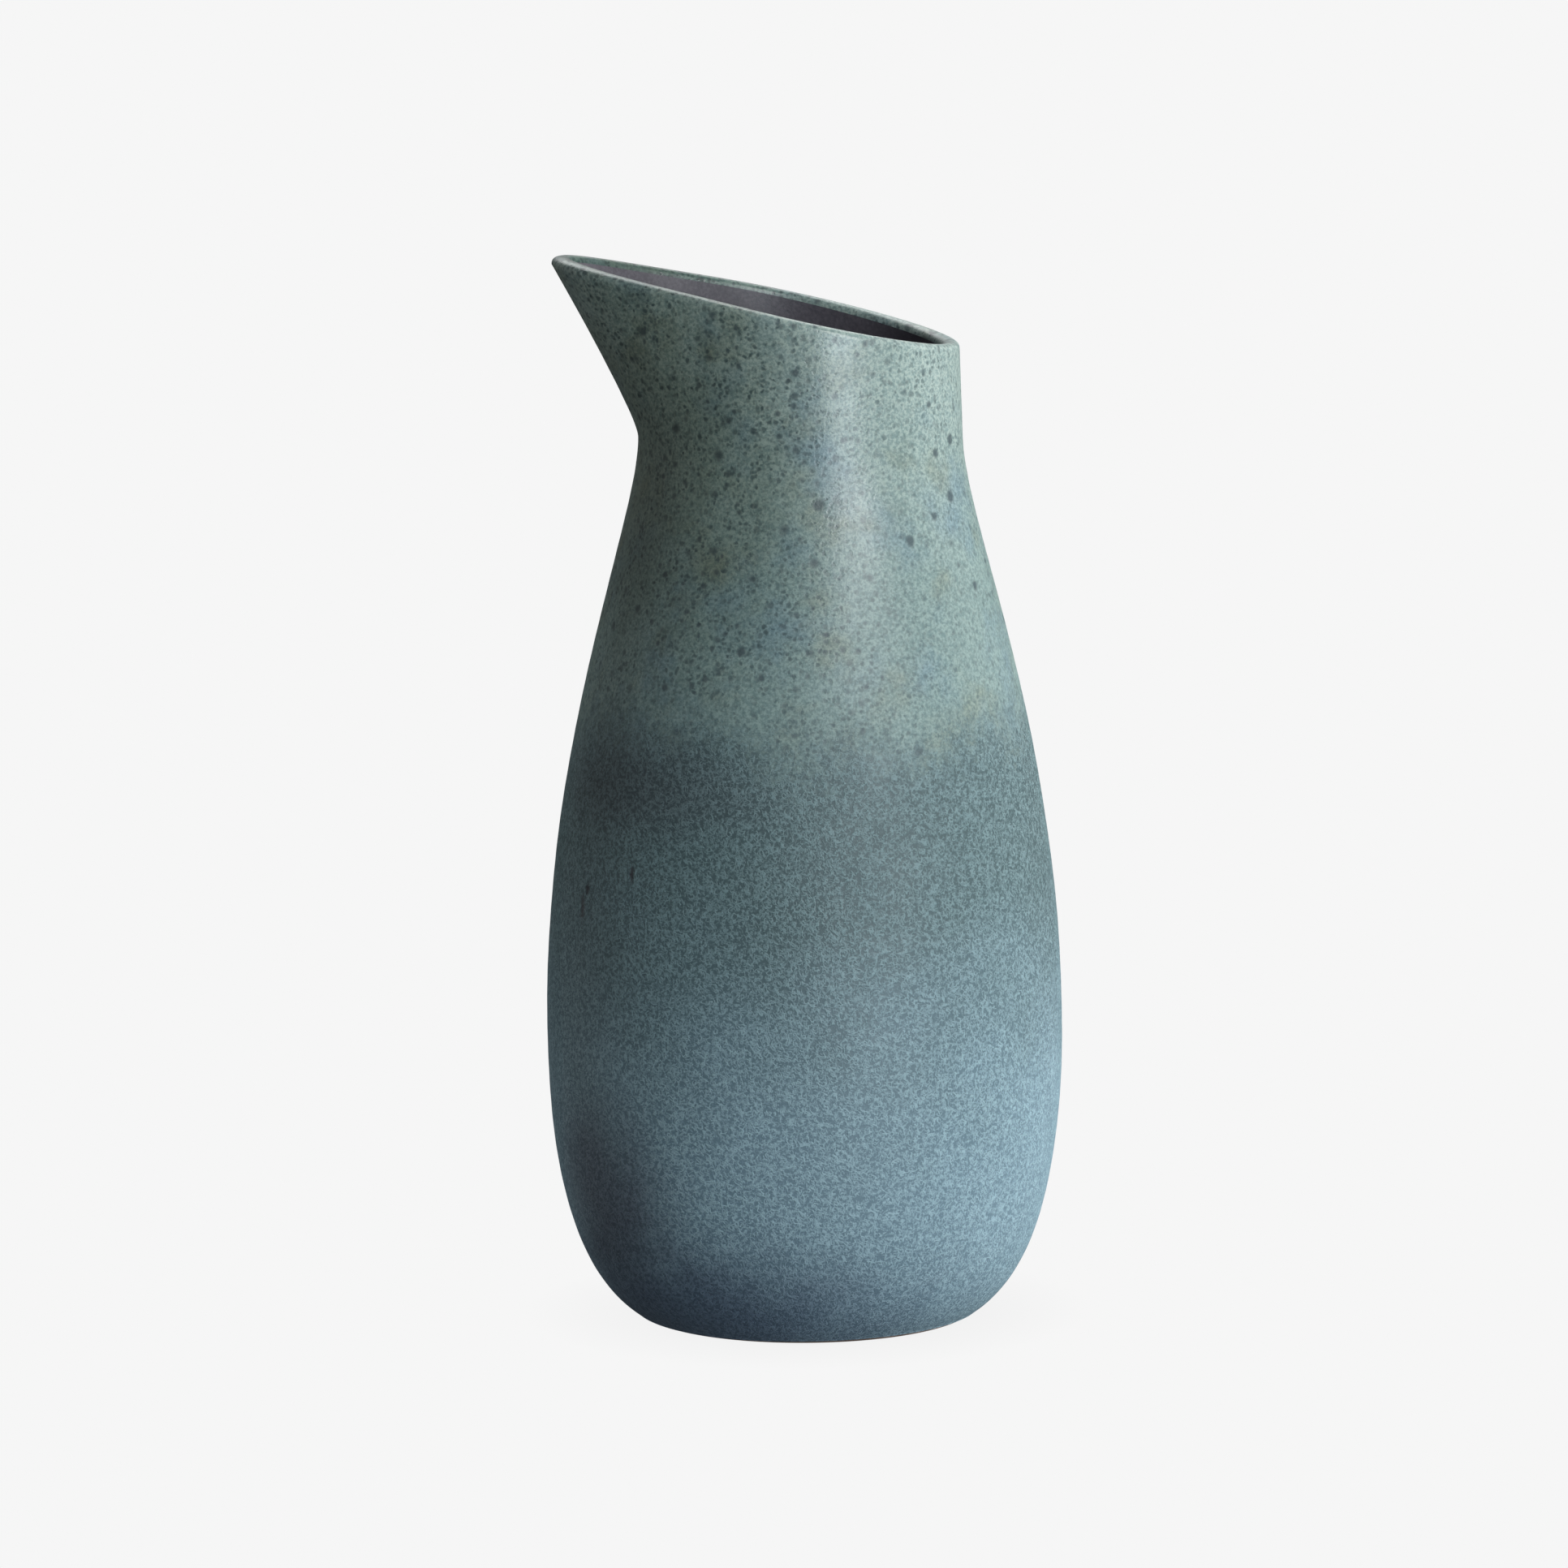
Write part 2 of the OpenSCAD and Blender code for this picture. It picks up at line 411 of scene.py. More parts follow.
@dataclass
class Shell:
    """Rings of points that make one closed piece.

    Attributes:
        rings: points, one row per ring and one column per angle.
        ends: how the first and the last ring are closed.
        creases: numbers of the rings along which the surface turns sharply.
        near_lip: 1 at the inner edge of the lip and 0 away from it, for each point, if used.
    """

    rings: np.ndarray
    ends: Ends
    creases: list[int] = field(default_factory=list)
    near_lip: np.ndarray | None = None

    def faces(self) -> tuple[np.ndarray, np.ndarray]:
        """Joins each ring to the next one, and closes the ends.

        Returns:
            Four-sided faces between the rings, and three-sided faces round the poles.
        """
        count, columns = self.rings.shape[:2]
        joined = self.ends is Ends.JOINED
        ring = np.arange(count if joined else count - 1)[:, None]
        here = np.arange(columns)[None, :]
        beside = (here + 1) % columns
        after = (ring + 1) % count
        quads = np.stack([ring * columns + here, ring * columns + beside,
                          after * columns + beside, after * columns + here], axis=-1)
        if joined:
            return quads.reshape(-1, 4), np.empty((0, 3), int)
        first, last = count * columns, count * columns + 1
        top = (count - 1) * columns
        under = np.stack([np.full(columns, first), beside[0], here[0]], axis=-1)
        over = np.stack([np.full(columns, last), top + here[0], top + beside[0]], axis=-1)
        return quads.reshape(-1, 4), np.concatenate([under, over])

    def points(self) -> np.ndarray:
        """Lists all points, with the two poles last where there are poles.

        Returns:
            Points, one per row.
        """
        points = self.rings.reshape(-1, 3)
        if self.ends is Ends.JOINED:
            return points
        return np.concatenate([points, self.rings[[0, -1]].mean(axis=1)])

    def to_mesh(self, name: str) -> bpy.types.Mesh:
        """Puts the points and faces into a mesh with smooth faces and sharp creases.

        Args:
            name: name of the mesh.

        Returns:
            The new mesh.
        """
        points = self.points()
        quads, triangles = self.faces()
        corners = np.concatenate([quads.ravel(), triangles.ravel()])
        sides = np.concatenate([np.full(len(quads), 4), np.full(len(triangles), 3)])
        mesh = bpy.data.meshes.new(name)
        mesh.vertices.add(len(points))
        mesh.vertices.foreach_set("co", points.astype(np.float32).ravel())
        mesh.loops.add(len(corners))
        mesh.loops.foreach_set("vertex_index", corners.astype(np.int32))
        mesh.polygons.add(len(sides))
        starts = np.concatenate([[0], np.cumsum(sides)[:-1]])
        mesh.polygons.foreach_set("loop_start", starts.astype(np.int32))
        mesh.update(calc_edges=True)
        mesh.shade_smooth()
        self.sharpen(mesh)
        if self.near_lip is not None:
            lip = mesh.attributes.new(LIP_ATTRIBUTE, "FLOAT", "POINT")
            lip.data.foreach_set("value", self.near_lip.astype(np.float32).ravel())
        mesh.validate()
        return mesh

    def sharpen(self, mesh: bpy.types.Mesh) -> None:
        """Marks the edges along the creases as sharp.

        Args:
            mesh: the shell's mesh.
        """
        if not self.creases:
            return
        ends = np.empty(2 * len(mesh.edges), np.int32)
        mesh.edges.foreach_get("vertices", ends)
        rings = ends.reshape(-1, 2) // self.rings.shape[1]
        along = (rings[:, 0] == rings[:, 1]) & np.isin(rings[:, 0], self.creases)
        sharp = mesh.attributes.new("sharp_edge", "BOOLEAN", "EDGE")
        sharp.data.foreach_set("value", along)


# ---------------------------------------------------------------- shader helpers

Value = float | tuple | bpy.types.NodeSocket


def srgb(red: int, green: int, blue: int) -> tuple[float, float, float, float]:
    """Display colour, 0 to 255, as the linear colour that nodes take."""
    shares = [c / 255 for c in (red, green, blue)]
    return (*[c / 12.92 if c <= 0.04045 else ((c + 0.055) / 1.055) ** 2.4 for c in shares], 1.0)


class Graph:
    """Adds nodes to a tree and links them."""

    def __init__(self, tree: bpy.types.NodeTree) -> None:
        """Keeps the tree that the nodes go into."""
        self.tree = tree

    def feed(self, socket: bpy.types.NodeSocket, value: Value) -> None:
        """Links a socket to an output, or sets its own value.

        Args:
            socket: the input to feed.
            value: an output, or a plain value.
        """
        if isinstance(value, bpy.types.NodeSocket):
            self.tree.links.new(value, socket)
        else:
            socket.default_value = value

    def add(self, kind: str, inputs: dict | None = None, **settings: object) -> bpy.types.Node:
        """Adds a node.

        Args:
            kind: the node's type.
            inputs: value or output for each input, by name or number.
            settings: the node's own properties.

        Returns:
            The node.
        """
        node = self.tree.nodes.new(kind)
        for name, value in settings.items():
            setattr(node, name, value)
        for key, value in (inputs or {}).items():
            self.feed(node.inputs[key], value)
        return node

    def math(self, operation: str, *values: Value) -> bpy.types.NodeSocket:
        """One arithmetic step on values."""
        return self.add("ShaderNodeMath", dict(enumerate(values)), operation=operation).outputs[0]

    def vector(self, operation: str, *values: Value) -> bpy.types.Node:
        """One arithmetic step on vectors, as its node."""
        return self.add("ShaderNodeVectorMath", dict(enumerate(values)), operation=operation)

    def scaled(self, vector: Value, factor: Value) -> bpy.types.NodeSocket:
        """A vector times a value."""
        return self.add("ShaderNodeVectorMath", {"Vector": vector, "Scale": factor},
                        operation="SCALE").outputs[0]

    def step(self, value: Value, low: Value, high: Value) -> bpy.types.NodeSocket:
        """Smooth step from 0 at low to 1 at high; low may be the larger."""
        inputs = {"Value": value, "From Min": low, "From Max": high}
        return self.add("ShaderNodeMapRange", inputs, interpolation_type="SMOOTHSTEP").outputs[0]

    def between(self, share: Value, low: Value, high: Value) -> bpy.types.NodeSocket:
        """Value from low to high by a share of 0 to 1."""
        return self.add("ShaderNodeMix", {0: share, 2: low, 3: high}, data_type="FLOAT").outputs[0]

    def blend(self, share: Value, first: Value, second: Value, mode: str = "MIX") -> bpy.types.NodeSocket:
        """Colour from first to second by a share of 0 to 1."""
        return self.add("ShaderNodeMix", {0: share, 6: first, 7: second},
                        data_type="RGBA", blend_type=mode).outputs[2]

    def noise(self, place: Value, size: Value, detail: float = 1.0, rough: float = 0.5) -> bpy.types.Node:
        """Noise whose bumps are about the given size apart.

        Args:
            place: where the noise is read.
            size: distance between its bumps.
            detail: number of finer layers on it.
            rough: strength of each finer layer.

        Returns:
            The noise's node.
        """
        scale = self.math("DIVIDE", 1.0, size) if isinstance(size, bpy.types.NodeSocket) else 1.0 / size
        return self.add("ShaderNodeTexNoise",
                        {"Vector": place, "Scale": scale, "Detail": detail, "Roughness": rough})

    def swing(self, place: Value, size: Value, detail: float, rough: float = 0.5) -> bpy.types.NodeSocket:
        """Value of a noise less its middle value, so that it swings about 0."""
        return self.math("SUBTRACT", self.noise(place, size, detail, rough).outputs[0], 0.5)

    def moved(self, place: Value, offset: tuple) -> bpy.types.NodeSocket:
        """The place moved, so that a pattern used twice does not repeat."""
        return self.vector("ADD", place, offset).outputs[0]

    def tint(self, share: Value, colour: Value, tint: Value) -> bpy.types.NodeSocket:
        """Colour multiplied by a tint, by a share of 0 to 1."""
        return self.blend(share, colour, self.blend(1.0, colour, tint, "MULTIPLY"))


def make_group(name: str, inputs: dict[str, object], outputs: tuple[str, ...]) -> tuple[Graph, dict, dict]:
    """Starts a shader node group with named sockets.

    Args:
        name: name of the group.
        inputs: default for each input; its type makes it a value, a vector or a colour.
        outputs: names of the outputs, all values.

    Returns:
        The group's graph, its inputs to read from and its output sockets to feed, by name.
    """
    tree = bpy.data.node_groups.new(name, "ShaderNodeTree")
    kinds = {3: "NodeSocketVector", 4: "NodeSocketColor"}
    for label, default in inputs.items():
        kind = kinds[len(default)] if isinstance(default, tuple) else "NodeSocketFloat"
        tree.interface.new_socket(label, in_out="INPUT", socket_type=kind).default_value = default
    for label in outputs:
        tree.interface.new_socket(label, in_out="OUTPUT", socket_type="NodeSocketFloat")
    source = tree.nodes.new("NodeGroupInput")
    result = tree.nodes.new("NodeGroupOutput")
    return (Graph(tree), {label: source.outputs[label] for label in inputs},
            {label: result.inputs[label] for label in outputs})


def specks_group() -> bpy.types.NodeTree:
    """Iron specks: ragged round dots about cell centres, of random size, tone and presence.

    Returns:
        Group with Mask, 1 inside a speck, and Tone, a random value for each speck.
    """
    g, given, result = make_group(
        "glaze specks",
        {"Place": NO_PLACE, "Spacing": 2 * MM, "Size": 0.3, "Ragged": 0.3, "Share": 1.0},
        ("Mask", "Tone"))
    place = g.vector("DIVIDE", given["Place"], g.scaled((1.0, 1.0, 1.0), given["Spacing"])).outputs[0]
    wander = g.vector("SUBTRACT", g.noise(place, 0.9, 0.5).outputs["Color"], (0.5, 0.5, 0.5)).outputs[0]
    place = g.vector("ADD", place, g.scaled(wander, given["Ragged"])).outputs[0]
    cells = g.add("ShaderNodeTexVoronoi", {"Vector": place, "Scale": 1.0, "Randomness": 1.0})
    random = g.add("ShaderNodeSeparateColor", {0: cells.outputs["Color"]})
    radius = g.math("MULTIPLY", given["Size"], g.between(random.outputs[0], 0.6, 1.25))
    dot = g.step(cells.outputs["Distance"], g.math("MULTIPLY", radius, 1.5), g.math("MULTIPLY", radius, 0.5))
    present = g.math("LESS_THAN", random.outputs[1], given["Share"])
    g.feed(result["Mask"], g.math("MULTIPLY", dot, present))
    g.feed(result["Tone"], random.outputs[2])
    return g.tree


def worms_group() -> bpy.types.NodeTree:
    """Crawled glaze: short winding ridges where a noise crosses its middle value.

    A second noise breaks the ridges into short worms.

    Returns:
        Group with Mask, 1 along the middle of a worm.
    """
    g, given, result = make_group(
        "glaze worms", {"Place": NO_PLACE, "Spacing": 2 * MM, "Width": 0.1}, ("Mask",))
    across = g.noise(given["Place"], given["Spacing"], 1.5, 0.6).outputs[0]
    away = g.math("ABSOLUTE", g.math("SUBTRACT", across, 0.5))
    ridge = g.step(away, given["Width"], 0.0)
    along = g.moved(given["Place"], (0.31, 0.17, 0.23))
    kept = g.step(g.noise(along, given["Spacing"], 1.0).outputs[0], 0.36, 0.58)
    g.feed(result["Mask"], g.math("MULTIPLY", ridge, kept))
    return g.tree


def patch_group() -> bpy.types.NodeTree:
    """Soft patch about a centre, with a cloudy edge.

    Returns:
        Group with Mask, 1 in the middle and 0 past the reach.
    """
    g, given, result = make_group(
        "glaze patch",
        {"Place": NO_PLACE, "Centre": NO_PLACE, "Reach": (0.02, 0.02, 0.02), "Cloud": 0.6,
         "Cloud size": 12 * MM},
        ("Mask",))
    away = g.vector("SUBTRACT", given["Place"], given["Centre"]).outputs[0]
    away = g.vector("LENGTH", g.vector("DIVIDE", away, given["Reach"]).outputs[0]).outputs["Value"]
    cloud = g.swing(given["Place"], given["Cloud size"], 3.0, 0.6)
    away = g.math("MULTIPLY_ADD", cloud, given["Cloud"], away)
    g.feed(result["Mask"], g.step(away, 1.0, 0.15))
    return g.tree


class Effects:
    """Node groups that the finishes share."""

    def __init__(self) -> None:
        """Builds each group once."""
        self.specks = specks_group()
        self.worms = worms_group()
        self.patch = patch_group()

    def use(self, graph: Graph, group: bpy.types.NodeTree, **inputs: Value) -> bpy.types.Node:
        """Places a group in a material.

        Args:
            graph: the material's graph.
            group: the group to place.
            inputs: values for its sockets, with _ for a space.

        Returns:
            The group's node.
        """
        node = graph.add("ShaderNodeGroup", node_tree=group)
        for name, value in inputs.items():
            graph.feed(node.inputs[name.replace("_", " ")], value)
        return node


def new_material(name: str) -> tuple[bpy.types.Material, Graph, bpy.types.Node, bpy.types.NodeSocket]:
    """Starts a material.

    Args:
        name: name of the material.

    Returns:
        The material, its graph, its Principled shader and the piece's own coordinates.
    """
    material = bpy.data.materials.new(name)
    material.use_nodes = True
    graph = Graph(material.node_tree)
    shader = material.node_tree.nodes["Principled BSDF"]
    return material, graph, shader, graph.add("ShaderNodeTexCoord").outputs["Object"]


# ---------------------------------------------------------------- finishes


@dataclass(frozen=True)
class Canvas:
    """What the parts of one glaze are drawn on.

    Attributes:
        g: the material's graph.
        place: the piece's own coordinates.
        height: height above the table.
        form: the surface, for the places of stained patches and painted shade.
        effects: the shared node groups.
    """

    g: Graph
    place: Value
    height: Value
    form: PitcherForm
    effects: Effects


@dataclass(frozen=True)
class Cloud:
    """Noise made into a share, which is 0 at its value low and 1 at its value high."""

    size: float
    low: float
    high: float
    detail: float = 3.0
    rough: float = 0.6
    offset: tuple = NO_PLACE

    def share(self, g: Graph, place: Value) -> Value:
        """Share of 0 to 1 at the place."""
        noise = g.noise(g.moved(place, self.offset), self.size, self.detail, self.rough)
        return g.step(noise.outputs[0], self.low, self.high)


@dataclass(frozen=True)
class Flecks:
    """Specks of one size. Size and raggedness are shares of the spacing."""

    spacing: float
    size: float
    ragged: float
    share: float
    offset: tuple = NO_PLACE

    def scatter(self, g: Graph, place: Value, effects: Effects) -> bpy.types.Node:
        """Adds the specks to a material."""
        return effects.use(g, effects.specks, Place=g.moved(place, self.offset), Spacing=self.spacing,
                           Size=self.size, Ragged=self.ragged, Share=self.share)


@dataclass(frozen=True)
class Worms:
    """Crawled ridges of one size."""

    spacing: float
    width: float
    offset: tuple = NO_PLACE

    def mask(self, c: Canvas) -> Value:
        """1 along the middle of a worm and 0 off it."""
        worms = c.effects.use(c.g, c.effects.worms, Place=c.g.moved(c.place, self.offset),
                              Spacing=self.spacing, Width=self.width)
        return worms.outputs["Mask"]


@dataclass(frozen=True)
class Region:
    """Part of the glaze with a cloudy edge. Its angle is in degrees from the front to the right."""

    angle: float
    height: float
    reach: tuple
    cloud: float
    cloud_size: float = 12 * MM

    def centre(self, form: PitcherForm) -> tuple[float, float, float]:
        """Finds the point on the surface at the region's angle and height.

        Args:
            form: the surface.

        Returns:
            Its coordinates.
        """
        radius = form.side(np.array(form.place_at(min(self.height, form.throat_height))))[0]
        angle = math.radians(self.angle)
        return (radius * math.sin(angle), -radius * math.cos(angle), self.height)

    def mask(self, c: Canvas) -> Value:
        """1 in the middle of the region and 0 outside it."""
        patch = c.effects.use(c.g, c.effects.patch, Place=c.place, Centre=self.centre(c.form),
                              Reach=self.reach, Cloud=self.cloud, Cloud_size=self.cloud_size)
        return patch.outputs["Mask"]


@dataclass(frozen=True)
class StainAndShade:
    """Colour over a region of the glaze: stained patches, pits, and a patch that is partly painted shade."""

    colour: tuple
    region: Region
    strength: float = 1.0

    def share(self, c: Canvas) -> Value:
        """Share of the patch's colour at a place."""
        return c.g.math("MULTIPLY", self.region.mask(c), self.strength)


@dataclass(frozen=True)
class SpeckledGlaze:
    """Grey green glaze with clouds and iron specks, paler towards the rim, partly its own tone and partly
    painted light on the more strongly lit neck.
    """

    # Partly the glaze's own paler tone, partly painted light: the neck is lit more strongly than the
    # shoulder.
    neck_green_and_light: tuple = srgb(156, 172, 165)
    shoulder_green: tuple = srgb(129, 150, 145)
    tan: tuple = srgb(126, 133, 114)
    grey_blue: tuple = srgb(112, 138, 148)
    shade: tuple = srgb(196, 208, 213)
    speck: tuple = srgb(57, 75, 78)
    blob: tuple = srgb(55, 69, 75)
    shoulder_top: float = 165 * MM
    neck_from: float = 225 * MM
    cool: Cloud = Cloud(20 * MM, 0.45, 0.75, offset=(0.3, 0.1, 0.2))
    cool_share: float = 0.75
    warm: Cloud = Cloud(17 * MM, 0.5, 0.75)
    warm_share: float = 0.6
    mottle: Cloud = Cloud(0.75 * MM, 0.62, 0.38, rough=0.7)
    thick: Cloud = Cloud(14 * MM, 0.3, 0.62, 2.0, 0.5)
    thin_strength: float = 0.6
    thick_strength: float = 0.95
    # Fainter specks on the right, lit side: partly the glaze's own, partly painted sheen, a pale veil where
    # the lamps' sheen falls.
    calm_and_sheen: Region = Region(50, 185 * MM, (0.05, 0.05, 0.095), 0.6)
    calm_and_sheen_strength: float = 0.5
    small: Flecks = Flecks(0.85 * MM, 0.34, 0.7, 0.75, (0.1, 0.2, 0.3))
    small_share: float = 0.5
    specks: Flecks = Flecks(1.35 * MM, 0.36, 0.7, 0.85)
    palest_speck: float = 0.5
    dots: Flecks = Flecks(3.0 * MM, 0.22, 0.3, 0.75, (0.7, 0.8, 0.2))
    blobs: Flecks = Flecks(7.5 * MM, 0.15, 0.12, 0.75, (0.4, 0.5, 0.6))
    blob_share: float = 0.8
    relief: float = -0.5

    def look(self, c: Canvas) -> tuple[Value, Value]:
        """Draws the ground, then the specks from the smallest to the largest.

        Args:
            c: what the glaze is drawn on.

        Returns:
            Its colour and its relief.
        """
        g = c.g
        strength = self.speck_strength(c)
        small, specks, dots, blobs = (
            kind.scatter(g, c.place, c.effects)
            for kind in (self.small, self.specks, self.dots, self.blobs))
        faint = g.math("MULTIPLY", strength, self.small_share)
        colour = g.blend(g.math("MULTIPLY", small.outputs["Mask"], faint), self.ground(c), self.speck)
        toned = g.math("MULTIPLY", strength, g.between(specks.outputs["Tone"], self.palest_speck, 1.0))
        colour = g.blend(g.math("MULTIPLY", specks.outputs["Mask"], toned), colour, self.speck)
        large = g.math("MULTIPLY", dots.outputs["Mask"], strength)
        large = g.math("MAXIMUM", large, blobs.outputs["Mask"])
        colour = g.blend(g.math("MULTIPLY", large, self.blob_share), colour, self.blob)
        relief = g.math("MULTIPLY", g.math("MAXIMUM", specks.outputs["Mask"], large), self.relief)
        return colour, relief

    def ground(self, c: Canvas) -> Value:
        """Draws the green, paler towards the rim partly by painted light, with cool and warm clouds and a
        fine mottle.

        Args:
            c: what the glaze is drawn on.

        Returns:
            The colour between the specks.
        """
        g = c.g
        # Paler towards the rim: partly the glaze's tone, partly painted light on the neck.
        towards_rim = g.step(c.height, self.shoulder_top, self.neck_from)
        green = g.blend(towards_rim, self.shoulder_green, self.neck_green_and_light)
        cool = g.math("MULTIPLY", self.cool.share(g, c.place), self.cool_share)
        warm = g.math("MULTIPLY", self.warm.share(g, c.place), self.warm_share)
        colour = g.blend(warm, g.blend(cool, green, self.grey_blue), self.tan)
        return g.tint(self.mottle.share(g, c.place), colour, self.shade)

    def speck_strength(self, c: Canvas) -> Value:
        """Strength of the specks, fainter in thin glaze and on the right, lit side, where the fading is
        partly the glaze's own and partly painted sheen.
        """
        strength = c.g.between(self.thick.share(c.g, c.place), self.thin_strength, self.thick_strength)
        return c.g.math("MULTIPLY", strength, c.g.between(self.calm_and_sheen.mask(c), 1.0, self.calm_and_sheen_strength))


@dataclass(frozen=True)
class CrawledGlaze:
    """Slate blue glaze whose skin crawled into pale worms, paler towards the foot."""

    deep_ground: tuple = srgb(62, 82, 85)
    deep_worm: tuple = srgb(107, 132, 135)
    pale_ground: tuple = srgb(99, 124, 136)
    pale_worm: tuple = srgb(146, 173, 183)
    deep_above: float = 118 * MM
    pale_below: float = 30 * MM
    sway: float = 40 * MM
    sway_size: float = 24 * MM
    worms: Worms = Worms(1.25 * MM, 0.11)
    finer: Worms = Worms(0.9 * MM, 0.14, (0.2, 0.4, 0.1))
    finer_share: float = 0.75
    relief: float = 1.2

    def look(self, c: Canvas) -> tuple[Value, Value]:
        """Draws the worms over the ground.

        Args:
            c: what the glaze is drawn on.

        Returns:
            Its colour and its relief.
        """
        g = c.g
        finer = g.math("MULTIPLY", self.finer.mask(c), self.finer_share)
        lines = g.math("MAXIMUM", self.worms.mask(c), finer)
        swing = g.swing(c.place, self.sway_size, 3.0, 0.6)
        pale = g.step(g.math("MULTIPLY_ADD", swing, self.sway, c.height), self.deep_above, self.pale_below)
        colour = g.blend(lines, g.blend(pale, self.deep_ground, self.pale_ground),
                         g.blend(pale, self.deep_worm, self.pale_worm))
        return colour, g.math("MULTIPLY", lines, self.relief)


@dataclass(frozen=True)
class OuterGlaze:
    """The two glazes of the outside, which run into each other along a cloudy line."""

    name: str
    upper: SpeckledGlaze = SpeckledGlaze()
    lower: CrawledGlaze = CrawledGlaze()
    half_blur: float = 11 * MM
    lifted: float = 5 * MM
    slow_sway: float = 36 * MM
    slow_size: float = 30 * MM
    grain_sway: float = 24 * MM
    grain_size: float = 2.2 * MM
    stains_and_shade: tuple = (
        StainAndShade(srgb(214, 205, 208), Region(-46, 130 * MM, (0.045, 0.045, 0.017), 0.5), 0.9),
        StainAndShade(srgb(188, 178, 184), Region(-55, 34 * MM, (0.032, 0.032, 0.032), 0.5)),
        # Darker and bluer over the front left towards the foot.
        StainAndShade(srgb(176, 174, 188), Region(-38, 4 * MM, (0.08, 0.08, 0.034), 0.4)),
        # Darker on the left of the neck and shoulder, the side away from the lamps: partly the glaze's own
        # tone, partly painted shade.
        StainAndShade(srgb(192, 194, 184), Region(-58, 205 * MM, (0.055, 0.055, 0.085), 0.6)),
    )
    # Pits: their near-black colour is partly their own dark and partly painted shade in the hollows, which
    # are only a bump.
    pits: tuple = (
        StainAndShade(srgb(44, 44, 50), Region(-43.5, 110.5 * MM, (0.0011, 0.0011, 0.003), 1.2, 1.2 * MM), 0.9),
        StainAndShade(srgb(44, 44, 50), Region(-59, 105 * MM, (0.0012, 0.0012, 0.002), 1.0, 1.2 * MM), 0.9),
        StainAndShade(srgb(66, 62, 66), Region(-60.5, 100.5 * MM, (0.0014, 0.0014, 0.0045), 1.4, 1.2 * MM), 0.7),
    )
    pit_relief: float = -4.0
    # Painted shade, partly thin glaze, on the inner lip near the spout.
    lip_shade: tuple = srgb(140, 158, 152)
    lip_grain: float = 2 * MM
    lip_from: float = 0.25
    lip_past: float = 0.5
    spout_side: float = 30 * MM
    sheen: float = 0.75
    satin: float = 0.38
    dull: float = 0.6
    satin_from: float = 135 * MM
    satin_past: float = 195 * MM
    uneven: float = 0.2
    uneven_size: float = 9 * MM
    skin: float = 0.8
    skin_size: float = 0.5 * MM
    relief_step: float = 0.06 * MM

    def material(self, form: PitcherForm, effects: Effects) -> bpy.types.Material:
        """Makes the glaze.

        Args:
            form: the surface, for the places of stained patches and painted shade.
            effects: the shared node groups.

        Returns:
            The material.
        """
        material, g, shader, place = new_material(self.name)
        height = g.add("ShaderNodeSeparateXYZ", {0: place}).outputs[2]
        c = Canvas(g, place, height, form, effects)
        upper, upper_relief = self.upper.look(c)
        lower, lower_relief = self.lower.look(c)
        above = self.line(c)
        colour = g.blend(above, lower, upper)
        # Tints the stained patches, one of which is partly painted shade.
        for stain_and_shade in self.stains_and_shade:
            colour = g.tint(stain_and_shade.share(c), colour, stain_and_shade.colour)
        pitted = 0.0
        # Pits: a dark colour, partly painted shade, and a dip in the bump.
        for pit in self.pits:
            share = pit.share(c)
            colour = g.blend(share, colour, pit.colour)
            pitted = g.math("MULTIPLY_ADD", share, self.pit_relief, pitted)
        g.feed(shader.inputs["Base Color"], self.at_lip(c, colour))
        g.feed(shader.inputs["Specular IOR Level"], self.sheen)
        skin = g.noise(place, self.skin_size, 2.0).outputs[0]
        relief = g.math("MULTIPLY_ADD", skin, self.skin, g.between(above, lower_relief, upper_relief))
        relief = g.math("ADD", relief, pitted)
        bump = g.add("ShaderNodeBump", {"Strength": 1.0, "Distance": self.relief_step, "Height": relief})
        g.feed(shader.inputs["Normal"], bump.outputs[0])
        polish = g.step(height, self.satin_from, self.satin_past)
        rough = g.math("MULTIPLY_ADD", g.swing(place, self.uneven_size, 2.0), self.uneven,
                       g.between(polish, self.dull, self.satin))
        g.feed(shader.inputs["Roughness"], rough)
        return material

    def line(self, c: Canvas) -> Value:
        """Finds the side of the meeting line, whose edge wanders and is grainy.

        Args:
            c: what the glaze is drawn on.

        Returns:
            0 below the line and 1 above it.
        """
        g = c.g
        height = g.math("MULTIPLY_ADD", g.swing(c.place, self.slow_size, 2.0), self.slow_sway, c.height)
        height = g.math("MULTIPLY_ADD", g.swing(c.place, self.grain_size, 2.0), self.grain_sway, height)
        middle = c.form.meeting + self.lifted
        return g.step(height, middle - self.half_blur, middle + self.half_blur)

    def at_lip(self, c: Canvas, colour: Value) -> Value:
        """Painted shade, partly thin glaze: darkens the inner half of the lip near the spout, on the side
        away from the lamps.

        Args:
            c: what the glaze is drawn on.
            colour: the glaze's colour.

        Returns:
            The colour with the lip's shade.
        """
        g = c.g
        near_lip = g.add("ShaderNodeAttribute", attribute_name=LIP_ATTRIBUTE).outputs["Fac"]
        grain = g.math("ADD", g.swing(c.place, self.lip_grain, 2.0), 1.0)
        near_lip = g.math("MULTIPLY", near_lip, grain)
        aside = g.add("ShaderNodeSeparateXYZ", {0: c.place}).outputs[0]
        near_spout = g.step(aside, self.spout_side, -self.spout_side)
        share = g.math("MULTIPLY", g.step(near_lip, self.lip_from, self.lip_past), near_spout)
        return g.tint(share, colour, self.lip_shade)


